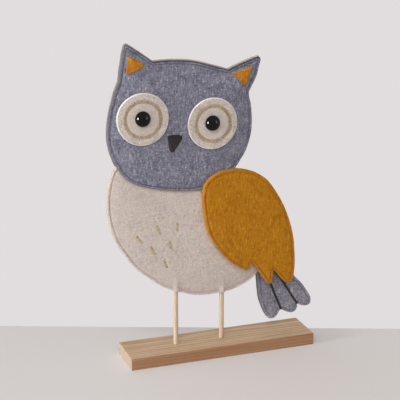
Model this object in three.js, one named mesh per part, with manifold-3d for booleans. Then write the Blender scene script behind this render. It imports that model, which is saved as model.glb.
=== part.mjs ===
// Felt owl figure: a flat stuffed owl on two dowels that stand in a wooden block.
// Millimetres, +Z up, +X to the viewer's right, and the owl looks towards -Y.
// The origin is the middle of the block's underside.
import * as THREE from 'three';
import { mergeVertices } from 'three/addons/utils/BufferGeometryUtils.js';
import Module from 'manifold-3d';

const wasm = await Module();
wasm.setup();

// Wooden block and legs
const baseLength = 200;
const baseDepth = 46;
const baseHeight = 12.5;
const legDiameter = 5;
const legSpacing = 50;
const legMiddle = -20.4;
const legSocketDepth = 9;
const legFreeLength = 50.9;
const legInsertion = 58;

// Felt, seams and stuffing
const feltThickness = 3;
const seamInset = 2.8;
const fillingInset = 7;
const clearance = 0.3;
const bodyFill = 3.6;
const headFill = 4.4;
const fillReach = 30;
const neckPinch = 0.45;
const threadWidth = 1.2;
const threadHeight = 0.6;

// Pattern pieces: how wide and how tall each outline is cut
const bodyWidth = 184.7;
const bodyHeight = 152;
const headWidth = 157.7;
const headHeight = 148;
const neckOverlap = 37.7;
const wingWidth = 100.5;
const wingHeight = 127.8;
const tailWidth = 63.7;
const tailHeight = 81;
const tailRoot = 8;

// Face, trim and stitches
const eyeDiscDiameter = 51.6;
const eyeDiscThickness = 2.5;
const eyeRingDiameter = 35.4;
const eyeRingWidth = 2.8;
const eyeBeadDiameter = 15.5;
const eyeBeadHeight = 6.8;
const eyeShankDiameter = 4;
const eyeShankTail = 2;
const eyeWasherDiameter = 14;
const eyeWasherThickness = 1.6;
const beakThickness = 1.5;
const earPatchThickness = 1.6;
const embroideryHeight = 1;
const dashWidth = 2.8;
const tailLineWidth = 1.2;

// All felt surfaces are sampled on one lattice, so that pieces laid on each other never cross.
const lattice = 15;
const roundSides = 24;
const channelSides = 12;
const curveSteps = 2;

const felt = (color) => new THREE.MeshStandardMaterial({ color, roughness: 0.95, metalness: 0 });
const greyFelt = felt(0x76747c);
const creamFelt = felt(0xc5b8af);
const mustardFelt = felt(0xaa6e1e);
const charcoalFelt = felt(0x2d2a2a);
const greyThread = felt(0x54515a);
const mustardThread = felt(0x7a4e14);
const khakiThread = felt(0xa59673);
const wadding = felt(0xf0eee8);
const wood = new THREE.MeshStandardMaterial({ color: 0xb49b7d, roughness: 0.6, metalness: 0 });
const dowelWood = new THREE.MeshStandardMaterial({ color: 0xd8bd98, roughness: 0.6, metalness: 0 });
const blackPlastic = new THREE.MeshStandardMaterial({ color: 0x0a0a0b, roughness: 0.08, metalness: 0 });
const palePlastic = new THREE.MeshStandardMaterial({ color: 0xe4e4e0, roughness: 0.5, metalness: 0 });

// Outlines as drawn on the pattern sheet. Each list is one smooth run between two corners.
const bodyDrawing = [[
  [-115.7, 102], [-114.9, 92], [-111.5, 78.3], [-107, 66.2], [-98.9, 52.6], [-89.6, 39.5], [-77.5, 28.1],
  [-62.1, 16.1], [-49.7, 9.5], [-38, 5.4], [-29, 2.3], [-18, 0.4], [-6.9, 0], [4.1, 1], [15.5, 2.2],
  [27.4, 6.3], [36.1, 10.9], [42.7, 17], [60.5, 36], [69, 60], [66, 83], [56, 102.4], [45.8, 116],
  [37, 124.8], [16.6, 132], [0, 142], [-25, 150], [-47, 152], [-86, 150.5], [-100, 147], [-107.6, 141.4],
  [-111.8, 132.1], [-115.4, 117.1], [-115.7, 102],
]];
const headDrawing = [
  [[-92.9, 148], [-86.2, 143.6], [-78.7, 138.3], [-67.5, 130.1]],
  [[-67.5, 130.1], [-49, 130.4], [-26.7, 128.2], [-4.4, 121.9], [9.8, 117.4]],
  [
    [9.8, 117.4], [21.2, 122], [33.5, 126.3], [41.2, 128.4], [43.4, 126.3], [41.4, 118.3], [38.9, 109.2],
    [31.4, 94.8],
  ],
  [
    [31.4, 94.8], [31.7, 89.5], [33.7, 81.5], [34.9, 66], [33.8, 51.2], [28.2, 34], [19.8, 22.5], [9.5, 14],
    [-3.5, 5.8], [-17.4, 0.8], [-32, 0], [-52.7, 1.9], [-75, 6.7], [-90, 12.6], [-99, 19.5], [-105.8, 29.4],
    [-111.9, 44], [-114.3, 60], [-112.4, 80], [-107.1, 100.3], [-102, 112],
  ],
  [
    [-102, 112], [-101, 120.4], [-99.3, 130.4], [-97.4, 140.5], [-95.6, 146.6], [-94.4, 148],
    [-92.9, 148],
  ],
];
const wingDrawing = [
  [
    [38, -111.3], [42.1, -116], [46.8, -121.6], [51.1, -126.3], [55.1, -127.8], [58.2, -126.3], [60.2, -121.6],
    [61.4, -111], [61.3, -98], [58.9, -75.6], [53, -55], [45, -37], [31.5, -16.5], [19.6, -6.9], [7.4, -1.9],
    [-2.5, 0], [-11.5, -0.3], [-20.3, -1.4], [-29.2, -4.8], [-34.2, -9.1], [-38.1, -15.2], [-39.1, -24],
    [-38.5, -38], [-35, -58], [-28.8, -73], [-20.4, -84.7], [-10.9, -96.1], [-0.1, -104.2], [6, -107.4],
    [9.6, -107.6], [12, -105.3], [13.2, -99.7],
  ],
  [
    [13.2, -99.7], [20.8, -109.4], [25.8, -117.1], [31.2, -124.1], [34.3, -126.2], [36.6, -123.8], [37.1, -118],
    [38, -111.3],
  ],
];
const tailDrawing = [
  [
    [44.4, -53.6], [48, -55.4], [54, -57.2], [59, -56], [60.5, -51.9], [59.4, -46.5], [55.1, -39.5], [49, -30.8],
    [41.4, -22.7], [32.1, -11], [24.1, 3], [14, 14], [3, 14.5], [-3.2, 5], [-2.5, -9], [-1.2, -22.9],
    [0.8, -40.8], [3.9, -51], [8.2, -60.7], [12.5, -66], [18.5, -66.3], [21.7, -63.2], [25.5, -57.2],
  ],
  [[25.5, -57.2], [30.3, -60], [34.3, -61.9], [39.1, -62.9], [43, -61.1], [44.9, -57.1], [44.4, -53.6]],
];
const beakDrawing = [[
  [-55, 57.5], [-48.5, 58.4], [-42, 57.2], [-40.2, 55], [-41.8, 52], [-45.4, 46.6], [-48.4, 42.6], [-50.4, 41.4],
  [-52.4, 42.2], [-53.6, 45.5], [-54.4, 52], [-55, 57.5],
]];
const earPatchCorners = {
  left: [[-90.8, 136.8], [-77, 128], [-94, 120.4]],
  right: [[35.2, 121.1], [15.2, 113.8], [26.7, 101.3]],
};
const eyePlaces = { left: [-80.9, 77.2], right: [-9.6, 67.7] };
// The beads sit a little off the middle of their discs.
const eyeDiscOffset = [0.9, -0.95];
const shoulderPlace = [19.4, 133.1];
const rumpPlace = [47.9, 27];
const dashPlaces = [
  [[-66.5, 81.4], [-63, 71.4]], [[-44.8, 82], [-45.1, 72.8]], [[-87.6, 72.6], [-81, 63.7]],
  [[-73.2, 60.1], [-68, 50.3]], [[-53.7, 63.7], [-50.6, 54.2]], [[-59.3, 45.4], [-56, 35.1]],
];
const tailLineDrawings = {
  inner: [[14.1, -28], [17.7, -37.5], [25, -55]],
  outer: [[18.1, -14], [27.2, -26.2], [36.3, -40.9], [44.2, -53]],
};

// Outlines

function sampleRuns(runs) {
  const shape = new THREE.Shape();
  shape.moveTo(...runs[0][0]);
  for (const run of runs) {
    const points = run.slice(1).map((point) => new THREE.Vector2(...point));
    if (points.length === 1) shape.lineTo(points[0].x, points[0].y);
    else shape.splineThru(points);
  }
  return shape.getPoints(curveSteps).slice(0, -1);
}

// A pattern piece is its drawing cut to a width and a height, and laid with its own zero at a place.
function patternPiece(drawing, width, height, placeX, placeZ) {
  const drawn = new THREE.Box2().setFromPoints(drawing.flat().map((point) => new THREE.Vector2(...point)));
  const size = drawn.getSize(new THREE.Vector2());
  const at = ([x, z]) => [placeX + x * (width / size.x), placeZ + z * (height / size.y)];
  return { at, outline: sampleRuns(drawing.map((run) => run.map(at))) };
}

function distanceInside(outline, x, z) {
  let nearest = Infinity;
  let inside = false;
  for (let i = 0, j = outline.length - 1; i < outline.length; j = i, i += 1) {
    const a = outline[j];
    const b = outline[i];
    const dx = b.x - a.x;
    const dz = b.y - a.y;
    const along = THREE.MathUtils.clamp(((x - a.x) * dx + (z - a.y) * dz) / (dx * dx + dz * dz), 0, 1);
    nearest = Math.min(nearest, Math.hypot(x - a.x - along * dx, z - a.y - along * dz));
    if ((b.y > z) !== (a.y > z) && x < a.x + ((z - a.y) / dz) * dx) inside = !inside;
  }
  return inside ? nearest : -nearest;
}

// Where two stretches of a closed line cross, the short loop between them is cut off.
function withoutLoops(points) {
  const longestLoop = points.length / 4;
  for (let i = 0; i < points.length; i += 1) {
    for (let step = 2; step < longestLoop; step += 1) {
      const j = i + step;
      const [a, b, c, d] = [i, i + 1, j, j + 1].map((k) => points[k % points.length]);
      const first = b.clone().sub(a);
      const second = d.clone().sub(c);
      const between = c.clone().sub(a);
      const turn = first.cross(second);
      const along = between.cross(second) / turn;
      const across = between.cross(first) / turn;
      if (along >= 0 && along <= 1 && across >= 0 && across <= 1) {
        const crossing = a.clone().addScaledVector(first, along);
        const kept = points.filter((_, k) => (k - i - 1 + points.length) % points.length >= step);
        kept.splice(j < points.length ? i + 1 : kept.length, 0, crossing);
        return withoutLoops(kept);
      }
    }
  }
  return points;
}

// The outline moved inwards by a distance, or outwards where the distance is negative.
function inset(outline, distance) {
  const inward = THREE.ShapeUtils.isClockWise(outline) ? -1 : 1;
  const moved = outline.map((point, i) => {
    const before = outline[(i + outline.length - 1) % outline.length];
    const after = outline[(i + 1) % outline.length];
    const along = after.clone().sub(before).normalize();
    return new THREE.Vector2(point.x - along.y * inward * distance, point.y + along.x * inward * distance);
  });
  return withoutLoops(moved);
}

function circle([x, z], diameter, sides = roundSides) {
  return Array.from({ length: sides }, (_, i) => {
    const angle = (i / sides) * 2 * Math.PI;
    return new THREE.Vector2(x + (Math.cos(angle) * diameter) / 2, z + (Math.sin(angle) * diameter) / 2);
  });
}

// A strip with round ends along a line of points.
function strip(points, width) {
  const line = points.map((point) => new THREE.Vector2(...point));
  const side = (list) => list.map((point, i) => {
    const along = list[Math.min(i + 1, list.length - 1)].clone().sub(list[Math.max(i - 1, 0)]).normalize();
    return new THREE.Vector2(point.x + (along.y * width) / 2, point.y - (along.x * width) / 2);
  });
  const cap = (list) => {
    const end = list.at(-1);
    const along = end.clone().sub(list.at(-2)).setLength(width / 2);
    return [end.clone().add(along)];
  };
  const back = [...line].reverse();
  return [...side(line), ...cap(line), ...side(back), ...cap(back)];
}

// Solids

function toManifold(geometry) {
  geometry.deleteAttribute('normal');
  geometry.deleteAttribute('uv');
  const merged = mergeVertices(geometry, 1e-4);
  return new wasm.Manifold(new wasm.Mesh({
    numProp: 3,
    vertProperties: new Float32Array(merged.attributes.position.array),
    triVerts: new Uint32Array(merged.index.array),
  }));
}

function toGeometry(solid) {
  const mesh = solid.getMesh();
  const geometry = new THREE.BufferGeometry();
  geometry.setAttribute('position', new THREE.BufferAttribute(mesh.vertProperties, 3));
  geometry.setIndex(new THREE.BufferAttribute(mesh.triVerts, 1));
  geometry.computeVertexNormals();
  return geometry;
}

// The outline pushed through the whole depth of the figure, along Y.
function prism(outline) {
  const settings = { depth: baseDepth * 2, bevelEnabled: false };
  const geometry = new THREE.ExtrudeGeometry(new THREE.Shape(outline), settings);
  return toManifold(geometry.rotateX(Math.PI / 2).translate(0, baseDepth, 0));
}

function rodAlongY([x, z], diameter, fromY, toY) {
  const geometry = new THREE.CylinderGeometry(diameter / 2, diameter / 2, toY - fromY, roundSides);
  return toManifold(geometry.translate(0, (fromY + toY) / 2, 0).translate(x, 0, z));
}

function rodAlongZ(x, diameter, fromZ, toZ) {
  const acrossFlats = diameter / 2 / Math.cos(Math.PI / channelSides);
  const geometry = new THREE.CylinderGeometry(acrossFlats, acrossFlats, toZ - fromZ, channelSides);
  return toManifold(geometry.rotateX(Math.PI / 2).translate(x, 0, (fromZ + toZ) / 2));
}

// A sheet between two surfaces, which give their distance from the middle plane at a place on the lattice.
// Side -1 is the front of the figure, towards the viewer, and side 1 is its back.
function sheet(outline, side, near, far) {
  const box = new THREE.Box2().setFromPoints(outline);
  const first = { x: Math.floor(box.min.x / lattice), z: Math.floor(box.min.y / lattice) };
  const columns = Math.ceil(box.max.x / lattice) - first.x + 1;
  const rows = Math.ceil(box.max.y / lattice) - first.z + 1;
  const positions = [];
  for (const surface of [near, far]) {
    for (let row = 0; row < rows; row += 1) {
      for (let column = 0; column < columns; column += 1) {
        const x = (first.x + column) * lattice;
        const z = (first.z + row) * lattice;
        positions.push(x, side * surface(x, z), z);
      }
    }
  }
  const index = [];
  const layer = rows * columns;
  const triangle = (a, b, c) => index.push(...(side > 0 ? [a, b, c] : [a, c, b]));
  const wall = (a, b) => {
    triangle(a, b, b + layer);
    triangle(a, b + layer, a + layer);
  };
  for (let row = 0; row < rows - 1; row += 1) {
    for (let column = 0; column < columns - 1; column += 1) {
      const a = row * columns + column;
      triangle(a, a + 1, a + columns + 1);
      triangle(a, a + columns + 1, a + columns);
      triangle(a + layer, a + columns + 1 + layer, a + 1 + layer);
      triangle(a + layer, a + columns + layer, a + columns + 1 + layer);
    }
  }
  for (let column = 0; column < columns - 1; column += 1) {
    wall(column + 1, column);
    wall(layer - columns + column, layer - columns + column + 1);
  }
  for (let row = 0; row < rows - 1; row += 1) {
    wall(row * columns, (row + 1) * columns);
    wall((row + 2) * columns - 1, (row + 1) * columns - 1);
  }
  const geometry = new THREE.BufferGeometry();
  geometry.setAttribute('position', new THREE.Float32BufferAttribute(positions, 3));
  geometry.setIndex(index);
  return toManifold(geometry).intersect(prism(outline));
}

// Layout: the figure's zero is the body's lowest point.

const body = patternPiece(bodyDrawing, bodyWidth, bodyHeight, 0, 0);
const head = patternPiece(headDrawing, headWidth, headHeight, 0, bodyHeight - neckOverlap);
const shoulder = body.at(shoulderPlace);
const wing = patternPiece(wingDrawing, wingWidth, wingHeight, ...shoulder);
const rump = body.at(rumpPlace);
const tail = patternPiece(tailDrawing, tailWidth, tailHeight, ...rump);
const legPlaces = { left: legMiddle - legSpacing / 2, right: legMiddle + legSpacing / 2 };

// Surfaces, as distances from the middle plane

function rise(distance) {
  const share = THREE.MathUtils.clamp((distance - seamInset) / fillReach, 0, 1);
  return 1 - (1 - share) ** 2;
}

const nearNeck = lattice * 1.5;
const neckSlope = 0.25;
const raised = (surface, amount) => (x, z) => surface(x, z) + amount;
const distanceIn = (piece, x, z) => distanceInside(piece.outline, x, z);

const bodyInner = (x, z) => {
  const neck = THREE.MathUtils.lerp(neckPinch, 1, rise(Math.abs(distanceIn(head, x, z))));
  return clearance / 2 + bodyFill * rise(distanceIn(body, x, z)) * neck;
};
const bodyOuter = raised(bodyInner, feltThickness);
const headInner = (x, z) => {
  const beyondBody = Math.max(0, -distanceIn(body, x, z) - nearNeck);
  const overBody = bodyOuter(x, z) + clearance - beyondBody * neckSlope;
  return Math.max(clearance / 2 + headFill * rise(distanceIn(head, x, z)), overBody);
};
const headOuter = raised(headInner, feltThickness);

const bodyCrown = clearance / 2 + bodyFill + feltThickness;
const wingInner = (x, z) => {
  const underHead = distanceIn(head, x, z) > -nearNeck ? headOuter(x, z) : 0;
  return clearance + Math.max(bodyCrown, underHead);
};
const wingMiddle = raised(wingInner, feltThickness);
const wingFace = raised(wingMiddle, clearance);
const wingOuter = raised(wingFace, feltThickness);

const tailInner = (x, z) => {
  const edge = clearance / 2 + bodyFill * rise(tailRoot) + feltThickness;
  const underBody = distanceIn(body, x, z) > -nearNeck ? bodyOuter(x, z) : 0;
  return clearance + Math.max(edge, underBody);
};
const tailMiddle = raised(tailInner, feltThickness);
const tailFace = raised(tailMiddle, clearance);
const tailOuter = raised(tailFace, feltThickness);

// The highest stand of a surface near a place, for a flat piece that is set on it.
function crownNear(surface, [x, z], diameter) {
  const firstX = Math.floor((x - diameter / 2) / lattice);
  const lastX = Math.ceil((x + diameter / 2) / lattice);
  const firstZ = Math.floor((z - diameter / 2) / lattice);
  const lastZ = Math.ceil((z + diameter / 2) / lattice);
  const heights = [];
  for (let i = firstX; i <= lastX; i += 1) {
    for (let j = firstZ; j <= lastZ; j += 1) heights.push(surface(i * lattice, j * lattice));
  }
  return { high: Math.max(...heights), low: Math.min(...heights) };
}

// Pieces

const owl = new THREE.Group();
const figure = new THREE.Group();
figure.position.z = baseHeight + legFreeLength;
owl.add(figure);

function addMesh(parent, name, geometry, material) {
  const mesh = new THREE.Mesh(geometry, material);
  mesh.name = name;
  parent.add(mesh);
  return mesh;
}

function addPiece(name, solid, material) {
  return addMesh(figure, name, toGeometry(solid), material);
}

function makeThread(piece, side, surface, covers) {
  const outerEdge = inset(piece.outline, seamInset - threadWidth / 2);
  const innerEdge = inset(piece.outline, seamInset + threadWidth / 2);
  const top = raised(surface, clearance + threadHeight);
  let thread = sheet(outerEdge, side, raised(surface, clearance), top).subtract(prism(innerEdge));
  for (const cover of covers) thread = thread.subtract(prism(inset(cover, -clearance * 2)));
  return thread;
}

function addBase() {
  const block = new THREE.BoxGeometry(baseLength, baseDepth, baseHeight).translate(0, 0, baseHeight / 2);
  let solid = toManifold(block);
  for (const [side, x] of Object.entries(legPlaces)) {
    const socket = rodAlongZ(x, legDiameter + clearance * 2, baseHeight - legSocketDepth, baseHeight * 2);
    solid = solid.subtract(socket);
    const length = legSocketDepth + legFreeLength + legInsertion;
    const dowel = new THREE.CylinderGeometry(legDiameter / 2, legDiameter / 2, length, roundSides);
    const leg = addMesh(owl, `leg_dowel_${side}`, dowel, dowelWood);
    leg.rotation.x = Math.PI / 2;
    leg.position.set(x, 0, baseHeight - legSocketDepth + length / 2);
  }
  addMesh(owl, 'base_block', toGeometry(solid), wood);
}

// The dowels push their way in between the two felts, which stretch over them.
function addBody() {
  const channelTop = legInsertion + clearance;
  const inBody = prism(body.outline);
  for (const [name, side] of [['body_front_felt', -1], ['body_back_felt', 1]]) {
    const half = new THREE.BoxGeometry(bodyWidth * 2, baseDepth, bodyHeight * 2);
    const onSide = toManifold(half.translate(0, side * (baseDepth / 2 + clearance / 2), 0));
    let solid = sheet(body.outline, side, bodyInner, bodyOuter);
    for (const x of Object.values(legPlaces)) {
      const sleeve = rodAlongZ(x, legDiameter + clearance * 2 + feltThickness, -bodyHeight, channelTop);
      solid = solid.add(sleeve.intersect(inBody).intersect(onSide));
    }
    for (const x of Object.values(legPlaces)) {
      solid = solid.subtract(rodAlongZ(x, legDiameter + clearance * 2, -bodyHeight, channelTop));
    }
    addPiece(name, solid, creamFelt);
  }
  const gap = raised(bodyInner, -clearance);
  let filling = sheet(inset(body.outline, fillingInset), 1, (x, z) => -gap(x, z), gap);
  for (const x of Object.values(legPlaces)) {
    const sleeve = legDiameter + clearance * 4 + feltThickness;
    filling = filling.subtract(rodAlongZ(x, sleeve, -bodyHeight, channelTop + clearance));
  }
  addPiece('body_filling', filling, wadding);
  addBodyThread();
}

// The seam's thread stops short of each dowel, and where the head or the wing lies over it.
function addBodyThread() {
  const shoulderCover = circle(shoulder, wingWidth / 2);
  const thread = makeThread(body, -1, bodyOuter, [head.outline, wing.outline, shoulderCover]);
  const stop = (legDiameter + feltThickness) / 2 + clearance * 2;
  const stretches = {
    left: [-bodyWidth, legPlaces.left - stop],
    middle: [legPlaces.left + stop, legPlaces.right - stop],
    right: [legPlaces.right + stop, bodyWidth],
  };
  for (const [name, [from, to]] of Object.entries(stretches)) {
    const reach = new THREE.BoxGeometry(to - from, baseDepth, bodyHeight * 3);
    reach.translate((from + to) / 2, 0, 0);
    addPiece(`body_seam_thread_${name}`, thread.intersect(toManifold(reach)), greyThread);
  }
}

function addBellyStitches() {
  const top = raised(bodyOuter, clearance + embroideryHeight);
  const bottom = raised(bodyOuter, clearance);
  dashPlaces.forEach((ends, i) => {
    const outline = strip(ends.map(body.at), dashWidth);
    addPiece(`belly_stitch_${i + 1}`, sheet(outline, -1, bottom, top), khakiThread);
  });
}

function addEye(side, shankHoles) {
  const place = head.at(eyePlaces[side]);
  const discPlace = place.map((value, i) => value + eyeDiscOffset[i]);
  const disc = circle(discPlace, eyeDiscDiameter);
  const discBack = raised(headOuter, clearance);
  const discFace = raised(discBack, eyeDiscThickness);
  const shankHole = rodAlongY(place, eyeShankDiameter + clearance * 2, -baseDepth, baseDepth);
  addPiece(`eye_disc_${side}`, sheet(disc, -1, discBack, discFace).subtract(shankHole), creamFelt);
  const ringBack = raised(discFace, clearance);
  const ringTop = raised(ringBack, embroideryHeight);
  const ringHole = prism(circle(discPlace, eyeRingDiameter - eyeRingWidth));
  const ringEdge = circle(discPlace, eyeRingDiameter + eyeRingWidth);
  const ring = sheet(ringEdge, -1, ringBack, ringTop).subtract(ringHole);
  addPiece(`eye_ring_${side}`, ring, khakiThread);

  const seat = crownNear(discFace, place, eyeBeadDiameter).high + clearance;
  const washerFront = crownNear(headInner, place, eyeWasherDiameter).low - clearance;
  const shankEnd = washerFront - eyeWasherThickness - eyeShankTail;
  const radius = eyeBeadDiameter / 2;
  const shankRadius = eyeShankDiameter / 2;
  const profile = [[0, shankEnd], [shankRadius, shankEnd], [shankRadius, seat], [radius, seat]];
  const domeSteps = 6;
  for (let i = 1; i <= domeSteps; i += 1) {
    const angle = (i / domeSteps) * (Math.PI / 2);
    const across = i === domeSteps ? 0 : radius * Math.cos(angle);
    profile.push([across, seat + eyeBeadHeight * Math.sin(angle)]);
  }
  const turned = new THREE.LatheGeometry(profile.map((point) => new THREE.Vector2(...point)), roundSides);
  turned.rotateX(Math.PI).translate(place[0], 0, place[1]);
  addPiece(`eye_bead_${side}`, toManifold(turned), blackPlastic);

  const washerBack = washerFront - eyeWasherThickness;
  const washer = rodAlongY(place, eyeWasherDiameter, -washerFront, -washerBack);
  addPiece(`eye_washer_${side}`, washer.subtract(shankHole), palePlastic);
  shankHoles.push(shankHole);
  return rodAlongY(place, eyeWasherDiameter + clearance * 2, -baseDepth, -shankEnd + clearance);
}

function addHead() {
  const shankHoles = [];
  const pockets = Object.keys(eyePlaces).map((side) => addEye(side, shankHoles));
  let front = sheet(head.outline, -1, headInner, headOuter);
  for (const hole of shankHoles) front = front.subtract(hole);
  addPiece('head_front_felt', front, greyFelt);
  addPiece('head_back_felt', sheet(head.outline, 1, headInner, headOuter), greyFelt);
  const gap = raised(headInner, -clearance);
  let filling = sheet(inset(head.outline, fillingInset), 1, (x, z) => -gap(x, z), gap);
  filling = filling.subtract(prism(inset(body.outline, -clearance * 2)));
  for (const pocket of pockets) filling = filling.subtract(pocket);
  addPiece('head_filling', filling, wadding);
  addPiece('head_seam_thread', makeThread(head, -1, headOuter, [wing.outline]), greyThread);

  const onHead = raised(headOuter, clearance);
  const beakOutline = sampleRuns(beakDrawing.map((run) => run.map(head.at)));
  addPiece('beak', sheet(beakOutline, -1, onHead, raised(onHead, beakThickness)), charcoalFelt);
  const patchTop = raised(onHead, earPatchThickness);
  for (const [side, corners] of Object.entries(earPatchCorners)) {
    const outline = corners.map((corner) => new THREE.Vector2(...head.at(corner)));
    addPiece(`ear_patch_${side}`, sheet(outline, -1, onHead, patchTop), mustardFelt);
  }
}

function addWing() {
  addPiece('wing_back_felt', sheet(wing.outline, -1, wingInner, wingMiddle), mustardFelt);
  addPiece('wing_front_felt', sheet(wing.outline, -1, wingFace, wingOuter), mustardFelt);
  addPiece('wing_seam_thread', makeThread(wing, -1, wingOuter, []), mustardThread);
}

// The tail hangs behind the body, so its face with the lines looks at the body's back felt.
function addTail() {
  addPiece('tail_front_felt', sheet(tail.outline, 1, tailInner, tailMiddle), greyFelt);
  addPiece('tail_back_felt', sheet(tail.outline, 1, tailFace, tailOuter), greyFelt);
  const threadBack = raised(tailInner, -clearance * 2 - threadHeight);
  addPiece('tail_seam_thread', makeThread(tail, 1, threadBack, [body.outline]), greyThread);
  const lineTop = raised(tailInner, -clearance);
  const lineBottom = raised(lineTop, -embroideryHeight);
  const insideSeam = prism(inset(tail.outline, seamInset + threadWidth / 2 + clearance));
  for (const [name, points] of Object.entries(tailLineDrawings)) {
    const outline = strip(points.map(tail.at), tailLineWidth);
    addPiece(`tail_line_${name}`, sheet(outline, 1, lineBottom, lineTop).intersect(insideSeam), charcoalFelt);
  }
}

addBase();
addBody();
addBellyStitches();
addHead();
addWing();
addTail();

export default owl;
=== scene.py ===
import math

import bmesh
import bpy
import numpy as np
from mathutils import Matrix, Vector, noise
from mathutils.geometry import delaunay_2d_cdt


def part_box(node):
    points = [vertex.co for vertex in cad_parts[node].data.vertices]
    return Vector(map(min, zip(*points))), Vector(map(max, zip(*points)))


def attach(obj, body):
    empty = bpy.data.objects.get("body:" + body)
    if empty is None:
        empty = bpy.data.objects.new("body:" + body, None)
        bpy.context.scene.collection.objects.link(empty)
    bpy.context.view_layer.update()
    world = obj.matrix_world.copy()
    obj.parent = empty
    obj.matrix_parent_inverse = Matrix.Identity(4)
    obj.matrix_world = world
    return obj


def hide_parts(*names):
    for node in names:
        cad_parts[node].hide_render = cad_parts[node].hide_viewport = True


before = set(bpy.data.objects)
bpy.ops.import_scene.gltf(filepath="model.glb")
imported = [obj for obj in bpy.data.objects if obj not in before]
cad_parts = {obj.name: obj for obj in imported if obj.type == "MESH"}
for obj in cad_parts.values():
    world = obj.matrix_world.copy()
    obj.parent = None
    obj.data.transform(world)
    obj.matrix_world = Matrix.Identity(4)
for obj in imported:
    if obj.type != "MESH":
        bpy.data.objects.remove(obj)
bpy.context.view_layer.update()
mm = 0.001
body = "root"
front, rear = -1, 1             # the figure's two sides, along Y
print("frame loaded:", len(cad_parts), "nodes")


# Camera, light and floor

cameraLook = {
    "place": (-0.4150, -1.1097, 0.5231),   # metres, solved on the block's corners
    "turn": 19.64,                         # degrees from +Y towards +X
    "tilt": 16.92,                         # degrees below level
    "focalPixels": 1227.5,                 # for a frame 400 pixels wide
    "framePixels": 400,
    "sensor": 36.0,
    "clip": (0.01, 50),
}
lampAim = (0.0, 0.0, 0.18)
lampLooks = {
    "window": {"place": (-5.84, -0.60, 0.96), "size": (1.6, 1.6), "power": 208.0,
               "colour": (0.98, 0.99, 1.0)},
    "glint": {"place": (-2.83, -0.76, 0.57), "size": (1.1, 1.1), "power": 255.0, "colour": (1.0, 1.0, 1.0),
              "mirrored": True},            # the window as the beads mirror it, which lights nothing
    "panel": {"place": (1.98, -1.98, 0.55), "size": (0.8, 1.8), "power": 21.0, "colour": (1.0, 0.99, 0.97),
              "mirrored": True},            # a faint one on the beads' other side
    "front": {"place": (-0.9, -2.0, 1.9), "size": (1.6, 1.6), "power": 38.0, "colour": (1.0, 0.99, 0.98)},
}
roomLook = {
    "near": ((0.96, 0.97, 1.0), 0.66),      # colour and strength
    "far": ((1.0, 0.93, 0.84), 0.32),       # the side away from the window
    "change": (-0.2, 0.8),                  # where near turns into far, as a share to the right
}
floorLook = {
    "reach": 9.0,
    "edgeLeft": (-0.110, 0.102),            # two points on the table's back edge, metres
    "edgeRight": (0.206, -0.017),
    "table": (219, 214, 211),
    "haze": 3,                              # how much darker the table's faint clouds are
    "tableSeen": (216, 211, 208),           # the far table, where the lamps would make it too bright
    "plainFrom": (0.6, 1.6),                # metres from the block, from lit to plain
    "wall": (225, 221, 222),
}


def addObject(name, data):
    made = bpy.data.objects.new(name, data)
    bpy.context.scene.collection.objects.link(made)
    return made


def addCamera(look):
    turn, tilt = math.radians(look["turn"]), math.radians(look["tilt"])
    level = math.cos(tilt)
    data = bpy.data.cameras.new("camera")
    data.sensor_width = look["sensor"]
    data.lens = look["focalPixels"] * look["sensor"] / look["framePixels"]
    data.clip_start, data.clip_end = look["clip"]
    camera = addObject("camera", data)
    camera.location = look["place"]
    forward = Vector((math.sin(turn) * level, math.cos(turn) * level, -math.sin(tilt)))
    camera.rotation_euler = forward.to_track_quat("-Z", "Y").to_euler()
    bpy.context.scene.camera = camera


def addLamp(name, look):
    data = bpy.data.lights.new(name, "AREA")
    data.shape = "RECTANGLE"
    data.size, data.size_y = look["size"]
    data.energy, data.color = look["power"], look["colour"]
    lamp = addObject(name, data)
    lamp.visible_glossy = look.get("mirrored", False)
    lamp.visible_diffuse = not lamp.visible_glossy
    lamp.location = look["place"]
    lamp.rotation_euler = (Vector(lampAim) - Vector(look["place"])).to_track_quat("-Z", "Y").to_euler()


addCamera(cameraLook)
for name, look in lampLooks.items():
    addLamp(name + "Light", look)
bpy.context.scene.view_settings.view_transform = "Standard"
print("camera and lamps ready")


# Node trees

def linear(rgb):
    # sRGB 0 to 255 into the linear numbers that a shader takes, with full alpha.
    shares = [v / 255 for v in rgb]
    return (*[c / 12.92 if c <= 0.04045 else ((c + 0.055) / 1.055) ** 2.4 for c in shares], 1)


class Value:
    # One output of a node, with the arithmetic that the finishes and the stitches use.
    def __init__(self, owner, socket):
        self.owner, self.socket = owner, socket

    def also(self, name):
        # Another output of the same node.
        return Value(self.owner, self.socket.node.outputs[name])

    def calculate(self, operation, *others):
        return self.owner.add("ShaderNodeMath", dict(enumerate([self, *others])), operation=operation)

    def __add__(self, other):
        return self.calculate("ADD", other)

    __radd__ = __add__

    def __sub__(self, other):
        return self.calculate("SUBTRACT", other)

    def __rsub__(self, other):
        return (self * -1) + other

    def __mul__(self, other):
        return self.calculate("MULTIPLY", other)

    __rmul__ = __mul__

    def __pow__(self, other):
        return self.calculate("POWER", other)

    def most(self, other):
        return self.calculate("MAXIMUM", other)

    def least(self, other):
        return self.calculate("MINIMUM", other)

    def step(self, low, high):
        # 0 below low, 1 above high, smooth between.
        return self.owner.add("ShaderNodeMapRange", {"Value": self, "From Min": low, "From Max": high},
                              interpolation_type="SMOOTHSTEP")


class Tree:
    # A node tree that is built in order.
    def __init__(self, tree):
        self.tree = tree

    def plug(self, value, socket):
        if isinstance(value, Value):
            self.tree.links.new(value.socket, socket)
        else:
            socket.default_value = value

    def add(self, kind, sockets=None, output=0, **settings):
        node = self.tree.nodes.new(kind)
        for name, value in settings.items():
            setattr(node, name, value)
        for name, value in (sockets or {}).items():
            self.plug(value, node.inputs[name])
        return Value(self, node.outputs[output])


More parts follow.
